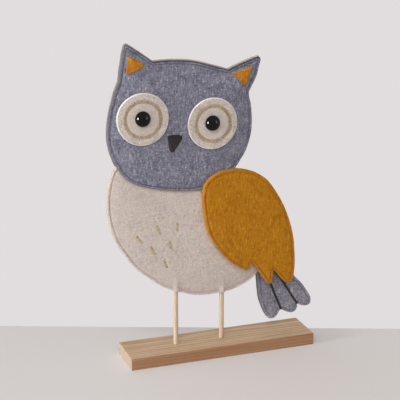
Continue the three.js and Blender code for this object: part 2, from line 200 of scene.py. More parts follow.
class Shader(Tree):
    def __init__(self, name, world=None):
        self.material = world or bpy.data.materials.new(name)
        self.material.use_nodes = True
        super().__init__(self.material.node_tree)
        self.tree.nodes.clear()
        self.output = self.tree.nodes.new("ShaderNodeOutputWorld" if world else "ShaderNodeOutputMaterial")
        self.plainKind = "ShaderNodeBackground" if world else "ShaderNodeEmission"

    def place(self):
        return self.add("ShaderNodeTexCoord", output="Object")

    def parts(self, vector):
        x = self.add("ShaderNodeSeparateXYZ", {"Vector": vector})
        return x, x.also("Y"), x.also("Z")

    def noise(self, vector, scale, detail, roughness, distortion=0.0):
        return self.add("ShaderNodeTexNoise", {"Vector": vector, "Scale": scale, "Detail": detail,
                                               "Roughness": roughness, "Distortion": distortion})

    def drawn(self, vector, scale, detail, roughness, distortion=0.0, turn=(0, 0, 0), shift=(0, 0, 0)):
        # Noise drawn out by a scale of its own on each axis.
        lay = self.add("ShaderNodeMapping", {"Vector": vector, "Scale": scale, "Rotation": turn,
                                             "Location": shift})
        return self.noise(lay, 1.0, detail, roughness, distortion)

    def attribute(self, name):
        return self.add("ShaderNodeAttribute", output="Fac", attribute_name=name)

    def mix(self, factor, *ends):
        # Each end is an sRGB colour or another node's value.
        first, second = [end if isinstance(end, Value) else linear(end) for end in ends]
        return self.add("ShaderNodeMix", {0: factor, 6: first, 7: second}, 2, data_type="RGBA")

    def bump(self, height, strength, distance):
        return self.add("ShaderNodeBump", {"Height": height, "Strength": strength, "Distance": distance})

    def finish(self, colour, sockets):
        self.surface = self.add("ShaderNodeBsdfPrincipled", {"Base Color": colour, **sockets})
        self.show(self.surface)
        return self.material

    def show(self, surface):
        self.plug(surface, self.output.inputs["Surface"])

    def seenPale(self, colour, lit, share=1.0):
        # The camera, and what mirrors or lets light through, see a plain colour instead of the lit one.
        rays = self.add("ShaderNodeLightPath", output="Is Camera Ray")
        seen = rays.most(rays.also("Is Glossy Ray")).most(rays.also("Is Transmission Ray")) * share
        plain = self.add(self.plainKind, {"Color": linear(colour), "Strength": 1.0})
        self.show(self.add("ShaderNodeMixShader", {0: seen, 1: lit, 2: plain}))


def addFloor(look):
    # The table ends behind the object; what lies beyond it is the pale ground that the camera sees.
    left, right = Vector(look["edgeLeft"]), Vector(look["edgeRight"])
    middle, along = (left + right) / 2, (right - left).normalized() * look["reach"]
    back = Vector((-along.y, along.x))
    for name, side in (("table", front), ("ground", rear)):
        corners = [middle - along, middle + along, middle + along + back * side,
                   middle - along + back * side]
        mesh = bpy.data.meshes.new(name)
        mesh.from_pydata([(c.x, c.y, 0) for c in corners], [], [(0, 1, 2, 3)[::side]])
        floor = addObject(name, mesh)
        shader = Shader(name + "Paint")
        if side == front:
            place = shader.place()
            haze = shader.noise(place, 3.0, 2.0, 0.5)
            colour = shader.mix(haze, look["table"], [c - look["haze"] for c in look["table"]])
            shader.finish(colour, {"Roughness": 0.9, "Specular IOR Level": 0.02})
            x, y, _ = shader.parts(place)
            away = (x * x + y * y) ** 0.5
            shader.seenPale(look["tableSeen"], shader.surface, away.step(*look["plainFrom"]))
        else:
            lit = shader.add("ShaderNodeBsdfDiffuse", {"Color": linear(look["wall"])})
            shader.seenPale(look["wall"], lit)
        mesh.materials.append(shader.material)


def addRoom(look, seen):
    world = bpy.data.worlds.new("room")
    bpy.context.scene.world = world
    shader = Shader("room", world)
    near, far = [shader.add("ShaderNodeBackground", {"Color": (*colour, 1), "Strength": strength})
                 for colour, strength in (look["near"], look["far"])]
    toRight = shader.parts(shader.place())[0].step(*look["change"])
    shader.seenPale(seen, shader.add("ShaderNodeMixShader", {0: toRight, 1: near, 2: far}))


addFloor(floorLook)
addRoom(roomLook, floorLook["wall"])
print("floor and room ready")


# Finishes. Scales are per metre.

# In each look, groove is painted shade along the seam's groove.
feltLooks = {
    "greyFelt": dict(
        base=(114, 114, 130), dark=(70, 69, 82), light=(170, 171, 185), warm=(118, 116, 127),
        edge=(122, 114, 115), groove=(70, 66, 77), mottle=1.15, upright=0.45),
    "creamFelt": dict(
        base=(196, 185, 178), dark=(154, 138, 129), light=(224, 217, 211), warm=(199, 184, 173),
        edge=(212, 197, 182), groove=(192, 170, 158), mottle=0.75, upright=0.2),
    "mustardFelt": dict(
        base=(177, 114, 14), dark=(134, 80, 8), light=(200, 140, 38), warm=(168, 109, 16),
        edge=(190, 128, 36), groove=(146, 88, 12), mottle=1.1, upright=0.6),
    "charcoalFelt": dict(
        base=(44, 41, 42), dark=(28, 26, 27), light=(74, 70, 70), warm=(50, 45, 44),
        edge=(40, 37, 37), groove=(30, 28, 29), mottle=1.0, upright=0.3),
}
for name, like, changes in (
        # topEdge colours the cut edges that face up. On the head's face felt it is painted shade where its
        # top meets the taller back felt, with the singed edge's own darkness; on the back felt it is painted
        # light on the strip that shows above, with its tan cut edge.
        ("headFrontFelt", "greyFelt", dict(topEdge=(48, 42, 44))),
        ("headBackFelt", "greyFelt", dict(topEdge=(190, 176, 165))),
        # The tail is the same grey felt, painted lighter to stand in for the light that reaches it.
        ("tailFeltPaintedLight", "greyFelt", dict(base=(126, 125, 138), dark=(78, 76, 88), light=(190, 190, 200),
                                      warm=(131, 127, 135), edge=(96, 88, 90))),
        # On the eye discs, edge is a painted highlight on the cut edge and rim; groove is the slightly paler
        # tone inside the embroidered ring.
        ("discFelt", "creamFelt", dict(base=(189, 180, 173), warm=(191, 179, 168), edge=(236, 231, 227),
                                       groove=(194, 183, 174), mottle=1.0)),
        ("patchFelt", "mustardFelt", dict(base=(167, 109, 40), warm=(173, 108, 32)))):
    feltLooks[name] = {**feltLooks[like], **changes}
del feltLooks["greyFelt"]
feltFibre = {
    "cloudScale": 110.0,                    # soft blotches about 9 mm across
    "fleckScale": 540.0,                    # flecks about 1.9 mm across
    "fineScale": 1500.0,
    "uprightScale": (700, 700, 170),
    "strandScale": (170.0, 1300.0, 1300.0),
    "strandTurns": (4, 47, 88, 131),        # degrees
    "bumpDistance": 0.3 * mm,
    "roughness": 0.95,
}


def feltMaterial(name, look, fibre):
    shader = Shader(name)
    place = shader.place()
    cloud = shader.noise(place, fibre["cloudScale"], 3.0, 0.6)
    fleck = shader.noise(place, fibre["fleckScale"], 4.0, 0.7, 0.4)
    fine = shader.noise(place, fibre["fineScale"], 2.0, 0.6, 0.3)
    upright = shader.drawn(place, fibre["uprightScale"], 2.0, 0.6, 0.5)
    strands = None
    for i, degrees in enumerate(fibre["strandTurns"]):
        strand = shader.drawn(place, fibre["strandScale"], 2.0, 0.5, 0.9, (0, math.radians(degrees), 0),
                              (i * 7.3, i * 3.1, i * 5.7)).step(0.58, 0.72)
        strands = strands.most(strand) if strands else strand
    tone = fleck * (1 - look["upright"]) + upright * look["upright"]
    light = (tone.step(0.50, 0.68) * 0.75 + strands * 0.35 + cloud.step(0.5, 0.75) * 0.2) * look["mottle"]
    dark = (1 - tone.step(0.34, 0.50)) * 0.8 + (1 - fine.step(0.34, 0.52)) * 0.3
    dark = (dark + (1 - cloud.step(0.3, 0.5)) * 0.26) * look["mottle"]
    colour = shader.mix(cloud.step(0.35, 0.7), look["base"], look["warm"])
    colour = shader.mix(dark.least(1.0), colour, look["dark"])
    colour = shader.mix(light.least(1.0), colour, look["light"])
    # Painted shade in the seams' grooves, and on the eye discs a paler tone inside the ring, where the
    # groove attribute says.
    colour = shader.mix(shader.attribute("groove") * (0.35 + cloud * 0.4), colour, look["groove"])
    edge = look["edge"]
    # Cut edges that face up take topEdge: painted shade with the singed edge's darkness on the head's face
    # felt, painted light with the tan cut edge on its back felt.
    if "topEdge" in look:
        edge = shader.mix(shader.attribute("upward"), edge, look["topEdge"])
    colour = shader.mix(shader.attribute("wall") * (0.75 + tone * 0.3), colour, edge)
    normal = shader.bump(strands * 0.6 + fleck * 0.8 + fine * 0.5, 0.8, fibre["bumpDistance"])
    return shader.finish(colour, {"Roughness": fibre["roughness"], "Sheen Weight": 0.06, "Normal": normal,
                                  "Sheen Roughness": 0.5, "Specular IOR Level": 0.06})


threadLooks = {
    "greyThread": ((74, 71, 82), (100, 97, 110)),
    "tanThread": ((172, 155, 138), (194, 179, 164)),
    "mustardThread": ((146, 84, 12), (174, 108, 22)),
    "khakiThread": ((148, 128, 96), (206, 188, 156)),
    "ringThread": ((138, 114, 78), (194, 170, 131)),
    "blackThread": ((7, 7, 8), (18, 17, 18)),
}


def threadMaterial(name, look):
    shader = Shader(name)
    place = shader.place()
    strand = shader.noise(place, 2600.0, 2.0, 0.6, 0.4)
    blotch = shader.noise(place, 330.0, 2.0, 0.5)
    colour = shader.mix((strand * 0.6 + blotch * 0.6).step(0.42, 0.78), *look)
    return shader.finish(colour, {"Roughness": 0.6, "Sheen Weight": 0.1, "Specular IOR Level": 0.3,
                                  "Normal": shader.bump(strand, 0.4, 0.1 * mm)})


woodLook = {
    "pale": (208, 180, 149),
    "mid": (180, 147, 113),
    "dark": (122, 93, 66),
    "grey": (154, 138, 114),
    "front": (131, 77, 36),                 # painted shade: the front face is darker and redder by this share
    "frontShadeShare": 0.66,
    "end": (188, 173, 156),                 # the sawn left end is greyer
    "endShare": 0.45,
    "ringCentre": (0.034, -0.048),          # y and z of the log's middle, metres
    "ringPitch": 380.0,
    "wander": 0.004,
}


def woodMaterial(look):
    shader = Shader("blockWood")
    place = shader.place()
    along, depth, height = shader.parts(place)
    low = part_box("base_block")[0]

    def onFace(axis, plane):
        # 1 on the block's face at that plane.
        return (axis * -1).step(-plane - 1.0 * mm, -plane - 0.2 * mm)

    drift = shader.drawn(place, (6, 26, 26), 3.0, 0.55)
    across, up = depth - look["ringCentre"][0], height - look["ringCentre"][1]
    radius = (across * across + up * up) ** 0.5 + (drift - 0.5) * look["wander"] * 2
    late = (radius * look["ringPitch"]).calculate("FRACT").step(0.1, 0.95)
    fibre = shader.drawn(place, (50, 2000, 2000), 3.0, 0.65)
    pore = shader.drawn(place, (130, 3000, 3000), 2.0, 0.5, shift=(3, 1, 2)).step(0.6, 0.7)
    streak = shader.drawn(place, (8, 330, 330), 3.0, 0.6)
    colour = shader.mix((late * 0.75 + streak.step(0.35, 0.65) * 0.5).least(1.0), look["pale"], look["mid"])
    colour = shader.mix(streak.step(0.55, 0.75) * 0.6, colour, look["grey"])
    colour = shader.mix(fibre.step(0.48, 0.78) * 0.55, colour, look["dark"])
    colour = shader.mix((pore * (0.3 + late * 0.5)).least(1.0), colour, look["dark"])
    # Painted shade on the front face, broken up by the streaks.
    frontShade = onFace(depth, low.y) * look["frontShadeShare"] * (0.75 + streak * 0.5)
    colour = shader.mix(frontShade, colour, look["front"])
    colour = shader.mix(onFace(along, low.x) * look["endShare"], colour, look["end"])
    normal = shader.bump(fibre * 0.5 - pore * 0.8 - late * 0.15, 0.35, 0.15 * mm)
    return shader.finish(colour, {"Specular IOR Level": 0.3, "Normal": normal,
                                  "Roughness": 0.5 + fibre * 0.15})


def dowelMaterial():
    shader = Shader("dowelWood")
    place = shader.place()
    fibre = shader.drawn(place, (2600, 2600, 70), 3.0, 0.6)
    slow = shader.drawn(place, (220, 220, 14), 2.0, 0.5)
    factor = (fibre.step(0.4, 0.75) * 0.5 + slow.step(0.4, 0.7) * 0.4).least(1.0)
    return shader.finish(shader.mix(factor, (206, 188, 164), (178, 148, 112)),
                         {"Roughness": 0.55, "Specular IOR Level": 0.35,
                          "Normal": shader.bump(fibre, 0.25, 0.1 * mm)})


def beadMaterial():
    shader = Shader("blackBead")
    scuff = shader.noise(shader.place(), 700.0, 3.0, 0.6)
    return shader.finish(shader.mix(scuff.step(0.55, 0.8) * 0.4, (4, 4, 5), (12, 11, 12)),
                         {"Specular IOR Level": 0.2, "Roughness": 0.06 + scuff.step(0.5, 0.8) * 0.05})


def washerMaterial():
    shader = Shader("paleWasher")
    haze = shader.noise(shader.place(), 400.0, 3.0, 0.6)
    return shader.finish(shader.mix(haze, (224, 224, 219), (238, 238, 234)),
                         {"Specular IOR Level": 0.4, "Roughness": 0.35 + haze * 0.2})


def waddingMaterial():
    shader = Shader("wadding")
    tuft = shader.noise(shader.place(), 260.0, 5.0, 0.75, 1.2)
    return shader.finish(shader.mix(tuft.step(0.35, 0.7), (228, 226, 220), (246, 245, 240)),
                         {"Roughness": 0.95, "Specular IOR Level": 0.1,
                          "Normal": shader.bump(tuft, 0.8, 0.8 * mm)})


finishes = {
    **{name: feltMaterial(name, look, feltFibre) for name, look in feltLooks.items()},
    **{name: threadMaterial(name, look) for name, look in threadLooks.items()},
    "blockWood": woodMaterial(woodLook), "dowelWood": dowelMaterial(), "blackBead": beadMaterial(),
    "paleWasher": washerMaterial(), "wadding": waddingMaterial(),
}
print("finishes ready:", len(finishes))


# Outlines, drawn in millimetres. Each list is one smooth run between two corners.

outlines = {
    "body": [[
        (-115.7, 102), (-114.9, 92), (-111.5, 78.3), (-107, 66.2), (-98.9, 52.6), (-89.6, 39.5),
        (-77.5, 28.1), (-62.1, 16.1), (-49.7, 9.5), (-38, 5.4), (-29, 2.3), (-18, 0.4), (-6.9, 0), (4.1, 1),
        (15.5, 2.2), (27.4, 6.3), (36.1, 10.9), (42.7, 17), (60.5, 36), (69, 60), (66, 83), (56, 102.4),
        (45.8, 116), (37, 124.8), (16.6, 132), (0, 142), (-25, 150), (-47, 152), (-86, 150.5), (-100, 147),
        (-107.6, 141.4), (-111.8, 132.1), (-115.4, 117.1), (-115.7, 102),
    ]],
    "head": [
        [(-92.9, 148), (-86.2, 143.6), (-78.7, 138.3), (-67.5, 130.1)],
        [(-67.5, 130.1), (-49, 130.4), (-26.7, 128.2), (-4.4, 121.9), (9.8, 117.4)],
        [(9.8, 117.4), (21.2, 122), (33.5, 126.3), (41.2, 128.4), (43.4, 126.3), (41.4, 118.3),
         (38.9, 109.2), (31.4, 94.8)],
        [(31.4, 94.8), (31.7, 89.5), (33.7, 81.5), (34.9, 66), (33.8, 51.2), (28.2, 34), (19.8, 22.5),
         (9.5, 14), (-3.5, 5.8), (-17.4, 0.8), (-32, 0), (-52.7, 1.9), (-75, 6.7), (-90, 12.6), (-99, 19.5),
         (-105.8, 29.4), (-111.9, 44), (-114.3, 60), (-112.4, 80), (-107.1, 100.3), (-102, 112)],
        [(-102, 112), (-101, 120.4), (-99.3, 130.4), (-97.4, 140.5), (-95.6, 146.6), (-94.4, 148),
         (-92.9, 148)],
    ],
    "wing": [
        [(38, -111.3), (42.1, -116), (46.8, -121.6), (51.1, -126.3), (55.1, -127.8), (58.2, -126.3),
         (60.2, -121.6), (61.4, -111), (61.3, -98), (58.9, -75.6), (53, -55), (45, -37), (31.5, -16.5),
         (19.6, -6.9), (7.4, -1.9), (-2.5, 0), (-11.5, -0.3), (-20.3, -1.4), (-29.2, -4.8), (-34.2, -9.1),
         (-38.1, -15.2), (-39.1, -24), (-38.5, -38), (-35, -58), (-28.8, -73), (-20.4, -84.7),
         (-10.9, -96.1), (-0.1, -104.2), (6, -107.4), (9.6, -107.6), (12, -105.3), (13.2, -99.7)],
        [(13.2, -99.7), (20.8, -109.4), (25.8, -117.1), (31.2, -124.1), (34.3, -126.2), (36.6, -123.8),
         (37.1, -118), (38, -111.3)],
    ],
    "tail": [
        [(44.4, -53.6), (48, -55.4), (54, -57.2), (59, -56), (60.5, -51.9), (59.4, -46.5), (55.1, -39.5),
         (49, -30.8), (41.4, -22.7), (32.1, -11), (24.1, 3), (14, 14), (3, 14.5), (-3.2, 5), (-2.5, -9),
         (-1.2, -22.9), (0.8, -40.8), (3.9, -51), (8.2, -60.7), (12.5, -66), (18.5, -66.3), (21.7, -63.2),
         (25.5, -57.2)],
        [(25.5, -57.2), (30.3, -60), (34.3, -61.9), (39.1, -62.9), (43, -61.1), (44.9, -57.1),
         (44.4, -53.6)],
    ],
    "beak": [[
        (-55, 57.5), (-48.5, 58.4), (-42, 57.2), (-40.2, 55), (-41.8, 52), (-45.4, 46.6), (-48.4, 42.6),
        (-50.4, 41.4), (-52.4, 42.2), (-53.6, 45.5), (-54.4, 52), (-55, 57.5),
    ]],
}


def smoothRun(points, spacing):
    # A Catmull-Rom run through the points, then resampled at an even spacing.
    points = np.array(points, float)
    padded = np.vstack([points[:1], points, points[-1:]])
    fine = []
    for i in range(len(points) - 1):
        before, here, there, after = padded[i:i + 4]
        slopeHere, slopeThere = (there - before) / 2, (after - here) / 2
        for t in np.linspace(0, 1, 16, endpoint=False):
            fine.append((2 * here - 2 * there + slopeHere + slopeThere) * t ** 3
                        + (-3 * here + 3 * there - 2 * slopeHere - slopeThere) * t ** 2
                        + slopeHere * t + here)
    fine = np.array(fine + [points[-1]])
    along = np.concatenate([[0], np.cumsum(np.linalg.norm(np.diff(fine, axis=0), axis=1))])
    wanted = np.linspace(0, along[-1], max(2, int(round(along[-1] / spacing))) + 1)
    return np.stack([np.interp(wanted, along, fine[:, k]) for k in (0, 1)], 1)


def closedOutline(name, spacing, node):
    # The outline in metres, set on its CAD node's own box.
    loop = np.vstack([smoothRun(run, spacing)[:-1] for run in outlines[name]]) * mm
    low, high = [np.array([corner.x, corner.z]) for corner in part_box(node)]
    return low + (loop - loop.min(0)) * (high - low) / (loop.max(0) - loop.min(0))


def circleLoop(centre, radius, spacing):
    count = int(round(2 * math.pi * radius / spacing))
    turns = np.arange(count) / count * 2 * math.pi
    return np.array(centre) + radius * np.stack([np.cos(turns), np.sin(turns)], 1)


def roundedLoop(corners, radius, spacing):
    # A polygon with rounded corners.
    loop = []
    for i, corner in enumerate(corners):
        following = corners[(i + 1) % len(corners)]
        before, after = corners[i - 1] - corner, following - corner
        inset = after / np.linalg.norm(after) * radius
        start, end = corner + before / np.linalg.norm(before) * radius, corner + inset
        for t in np.linspace(0, 1, 6):
            loop.append(start * (1 - t) ** 2 + corner * 2 * t * (1 - t) + end * t ** 2)
        straight = following - inset - end
        count = int(np.linalg.norm(straight) / spacing)
        loop.extend(end + straight * k / count for k in range(1, count))
    return np.array(loop)


def anticlockwise(loop):
    return np.sum(loop[:, 0] * np.roll(loop[:, 1], -1) - np.roll(loop[:, 0], -1) * loop[:, 1]) > 0


def distanceInside(loop, points):
    # Distance to the outline, positive inside it.
    edge = np.roll(loop, -1, axis=0) - loop
    nearest = np.full(len(points), np.inf)
    inside = np.zeros(len(points), bool)
    for start, end, way in zip(loop, loop + edge, edge):
        offset = points - start
        along = np.clip(offset @ way / (way @ way), 0, 1)
        away = offset - along[:, None] * way
        nearest = np.minimum(nearest, (away ** 2).sum(1))
        if way[1] != 0:
            crosses = (end[1] > points[:, 1]) != (start[1] > points[:, 1])
            inside ^= crosses & (points[:, 0] < start[0] + offset[:, 1] * way[0] / way[1])
    return np.where(inside, 1, -1) * np.sqrt(nearest)


def insetRing(loop, distance):
    # Points at one distance inside the outline; those that fold back at a corner are dropped.
    along = np.roll(loop, -1, axis=0) - np.roll(loop, 1, axis=0)
    along /= np.linalg.norm(along, axis=1)[:, None]
    inward = np.stack([-along[:, 1], along[:, 0]], 1) * (1 if anticlockwise(loop) else -1)
    ring = loop + inward * distance
    return ring[distanceInside(loop, ring) > distance * 0.985] if distance > 0 else ring


def centreAndRadius(node):
    low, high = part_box(node)
    return np.array([low.x + high.x, low.z + high.z]) / 2, (high.x - low.x) / 2


bodyLoop, headLoop, wingLoop, tailLoop = [
    closedOutline(name, 1.3, f"{name}_front_felt") for name in ("body", "head", "wing", "tail")]
figureZero = np.array([0, 63.4]) * mm            # the body's lowest point
headZero = figureZero + np.array([0, 114.3]) * mm
tailZero = figureZero + np.array([47.9, 27]) * mm
eyes = {side: (*centreAndRadius(f"eye_disc_{side}"), *centreAndRadius(f"eye_bead_{side}"))
        for side in ("left", "right")}
legBoxes = [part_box(f"leg_dowel_{side}") for side in ("left", "right")]
legX = [(low.x + high.x) / 2 for low, high in legBoxes]
legRadius = (legBoxes[0][1].x - legBoxes[0][0].x) / 2
legTop = legBoxes[0][1].z


# Surfaces, as distances from the figure's middle plane

stuffing = {
    "felt": 3.0 * mm,
    "gap": 0.16 * mm,           # between the two felts at their edge
    "layGap": 0.2 * mm,         # between a felt and another that it lies over
    "seamInset": 2.7 * mm,
    "grooveDepth": 0.5 * mm,
    "grooveWidth": 0.65 * mm,
    "bodyFill": 2.8 * mm,
    "headFill": 3.6 * mm,
    "reach": 30.0 * mm,
    "lipRise": 0.5 * mm,        # how far the stuffing lifts the felt just inside the seam
    "lipReach": 3.0 * mm,
    "neckPinch": 0.45,
    "bend": 14.0 * mm,          # how far a felt takes to come down past an edge under it
    "edgeRound": 0.7 * mm,
    "lumps": 0.2 * mm,
    "lumpSize": 45.0,           # per metre
    "nap": 0.09 * mm,
    "napSize": 260.0,
    "ridgeWidth": 3.6 * mm,     # the felt's ridge over a dowel
    "ridgeRise": 0.25 * mm,
    "ridgeFade": 30 * mm,
}
dashPlaces = [
    ((-66.5, 81.4), (-63, 71.4)), ((-44.8, 82), (-45.1, 72.8)), ((-87.6, 72.6), (-81, 63.7)),
    ((-73.2, 60.1), (-68, 50.3)), ((-53.7, 63.7), (-50.6, 54.2)), ((-59.3, 45.4), (-56, 35.1)),
]
dashes = [[figureZero + np.array(end) * mm for end in ends] for ends in dashPlaces]
dashDent = {"depth": 0.6 * mm, "reach": 1.5 * mm}


def smoothMax(a, b, soft=0.6 * mm):
    return (a + b + np.sqrt((a - b) ** 2 + soft ** 2)) / 2


def fade(values, start, end):
    t = np.clip((values - start) / (end - start), 0, 1)
    return t * t * (3 - 2 * t)


def bell(values, width):
    return np.exp(-(values / width) ** 2)


def rise(distance, reach=stuffing["reach"]):
    share = np.clip((distance - stuffing["seamInset"]) / reach, 0, 1)
    return 1 - (1 - share) ** 2


def lip(distance):
    inside = np.maximum(0, distance - stuffing["seamInset"] * 0.8)
    return stuffing["lipRise"] * (1 - np.exp(-inside / stuffing["lipReach"]))


def lumps(points, seed, look=stuffing):
    return np.array([noise.noise(Vector((x * look["lumpSize"], z * look["lumpSize"], seed))) * look["lumps"]
                     + noise.noise(Vector((x * look["napSize"], z * look["napSize"], seed))) * look["nap"]
                     for x, z in points])


def nearLine(points, start, end):
    way = end - start
    along = np.clip((points - start) @ way / (way @ way), 0, 1)
    return np.linalg.norm(points - start - along[:, None] * way, axis=1)


def laidOver(surface, points, side, reach):
    # How high a felt lies over a surface, coming down within reach of that surface's edge.
    cover, distance = surface(points, side)
    return (cover + stuffing["layGap"]) * fade(distance, -reach, 0)


def bodyInner(points, side):
    distance = distanceInside(bodyLoop, points)
    pinch = stuffing["neckPinch"]
    neck = pinch + (1 - pinch) * rise(np.abs(distanceInside(headLoop, points)))
    height = stuffing["gap"] / 2 + (stuffing["bodyFill"] * rise(distance) + lip(distance)) * neck
    fading = 1 - fade(points[:, 1], legTop - stuffing["ridgeFade"], legTop)
    for x in legX:
        ridge = (legRadius + stuffing["ridgeRise"]) * bell(points[:, 0] - x, stuffing["ridgeWidth"])
        height = smoothMax(height, ridge * fading, 0.3 * mm)
    return height, distance


def bodyFace(points, side):
    height, distance = bodyInner(points, side)
    height = height + stuffing["felt"] + lumps(points, 3 + side)
    if side == front:
        for ends in dashes:
            height -= dashDent["depth"] * bell(nearLine(points, *ends), dashDent["reach"])
    return height, distance


def headInner(points, side):
    distance = distanceInside(headLoop, points)
    own = stuffing["gap"] / 2 + stuffing["headFill"] * rise(distance) + lip(distance)
    return smoothMax(own, laidOver(bodyFace, points, side, stuffing["bend"])), distance


def headFace(points, side):
    height, distance = headInner(points, side)
    return height + stuffing["felt"] + lumps(points, 13 + side), distance


def raised(surface, amount, seed=None, look=None):
    # A surface laid on another, swelling a little where it is stitched round.
    def above(points, side):
        height, distance = surface(points, side)
        height = height + amount
        if look:
            height = height + rise(distance, look["swellReach"]) * look["swell"] + lip(distance) * 0.5
        if seed is not None:
            height = height + lumps(points, seed) * np.clip(distance / (6 * mm), 0, 1)
        return height, distance
    return above


def twoFelts(loop, look, under, bend, seed):
    # The back of two felts that stand off or lie over what is under them, the plane
    # between them as the first felt's face and as the second felt's back, and their face.
    def back(points, side):
        stand = np.full(len(points), look["stand"])
        return smoothMax(stand, laidOver(under, points, side, bend)), distanceInside(loop, points)

    felt = stuffing["felt"]
    second = raised(back, felt + look["gap"])
    return back, raised(back, felt), second, raised(second, felt, seed, look)


wingLook = {"stand": 7.05 * mm, "gap": 0.12 * mm, "swell": 0.5 * mm, "swellReach": 16 * mm}
tailLook = {"stand": 4.45 * mm, "gap": 0.12 * mm, "swell": 0.4 * mm, "swellReach": 12 * mm}
wingBack, wingMiddle, wingSecond, wingFace = twoFelts(
    wingLoop, wingLook, headFace, stuffing["bend"] * 1.6, 21)
tailBack, tailMiddle, tailSecond, tailFace = twoFelts(
    tailLoop, tailLook, bodyFace, stuffing["bend"], 27)
headSeat = raised(headFace, 0.08 * mm)          # where what is sewn on the face lies


# Meshes

def addPiece(name, mesh, finish, slotName, *cadNodes, padded=None, sharp=None):
    # sharp is the angle in degrees past which an edge stays crisp.
    piece = addObject(name, mesh)
    mesh.materials.clear()
    mesh.materials.append(finishes[finish])
    if sharp == 0:
        mesh.shade_flat()
    else:
        mesh.shade_smooth()
    if sharp:
        mesh.set_sharp_from_angle(angle=math.radians(sharp))
    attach(piece, body)
    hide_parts(*cadNodes)


def solid(name, verts, faces):
    # A closed mesh with its faces turned outward.
    mesh = bpy.data.meshes.new(name)
    mesh.from_pydata(verts, [], faces)
    made = bmesh.new()
    made.from_mesh(mesh)
    bmesh.ops.recalc_face_normals(made, faces=made.faces)
    made.to_mesh(mesh)
    made.free()
    return mesh


def applied(thing):
    # The mesh that an object's modifiers make.
    thing.update_tag()
    bpy.context.view_layer.update()
    return bpy.data.meshes.new_from_object(thing.evaluated_get(bpy.context.evaluated_depsgraph_get()))


def carved(mesh, cutters):
    # The mesh with the cutters' forms taken out of it.
    block = addObject("block", mesh)
    tools = [addObject(f"cutter{i}", cutter) for i, cutter in enumerate(cutters)]
    for tool in tools:
        change = block.modifiers.new(tool.name, "BOOLEAN")
        change.operation, change.solver, change.object = "DIFFERENCE", "EXACT", tool
    result = applied(block)
    for used in [block, *tools]:
        bpy.data.objects.remove(used)
    return result


def lathe(name, profile, centre, direction, segments, ring=False):
    # A closed turned form. The profile's (radius, height) pairs run from pole to pole, or round a ring.
    axis = Vector(direction).normalized()
    across = axis.orthogonal().normalized()
    other = axis.cross(across)
    verts, faces, rings = [], [], []
    for radius, along in profile:
        turns = [2 * math.pi * i / segments for i in range(segments if radius > 0 else 1)]
        rings.append(range(len(verts), len(verts) + len(turns)))
        verts += [Vector(centre) + axis * along + (across * math.cos(turn) + other * math.sin(turn)) * radius
                  for turn in turns]
    for low, high in zip(rings, rings[1:] + rings[:1] if ring else rings[1:]):
        for i in range(segments):
            j = (i + 1) % segments
            if len(low) == 1:
                faces.append((low[0], high[j], high[i]))
            elif len(high) == 1:
                faces.append((low[i], low[j], high[0]))
            else:
                faces.append((low[i], low[j], high[j], high[i]))
    return solid(name, verts, faces)


def wornLoop(loop, amount, seed, scale=700):
    # The cut edge of felt wanders a little.
    return np.array([[x + noise.noise(Vector((x * scale, z * scale, seed))) * amount,
                      z + noise.noise(Vector((x * scale, z * scale, seed + 9))) * amount] for x, z in loop])


def netted(loop, rings, grid):
    # Triangles inside an outline, and the edges round them: rings of points near
    # the outline, thinner past 5 mm, and an even field inside.
    found = [loop]
    for distance in rings:
        ring = insetRing(loop, distance)
        found.append(ring if distance < 5 * mm else ring[::2])
    low, high = loop.min(0), loop.max(0)
    field = []
    for i, z in enumerate(np.arange(low[1], high[1], grid * 0.87)):
        shift = grid / 2 if i % 2 else 0
        field.extend((x + shift, z) for x in np.arange(low[0], high[0], grid))
    field = np.array(field)
    points = np.vstack([*found, field[distanceInside(loop, field) > rings[-1] + grid * 0.6]])
    edges = [(i, (i + 1) % len(loop)) for i in range(len(loop))]
    made = delaunay_2d_cdt([Vector(p) for p in points], edges, [], 1, 1e-7)
    flat = np.array([tuple(v) for v in made[0]])
    triangles = [tuple(f) for f in made[2]]
    sides = {pair for a, b, c in triangles for pair in ((a, b), (b, c), (c, a))}
    return flat, triangles, sorted((a, b) for a, b in sides if (b, a) not in sides)


seamRings = [v * mm for v in (0.12, 0.35, 0.7, 1.2, 1.8, 2.25, 2.7, 3.15, 3.6, 4.2, 5.1, 6.3, 8.0, 10.2)]
plainRings = [v * mm for v in (0.1, 0.28, 0.6, 1.2, 2.2)]
wallTones = (0.5, 0.9, 1.0, 1.0)        # how far the cut edge has its own colour, from the face to the back


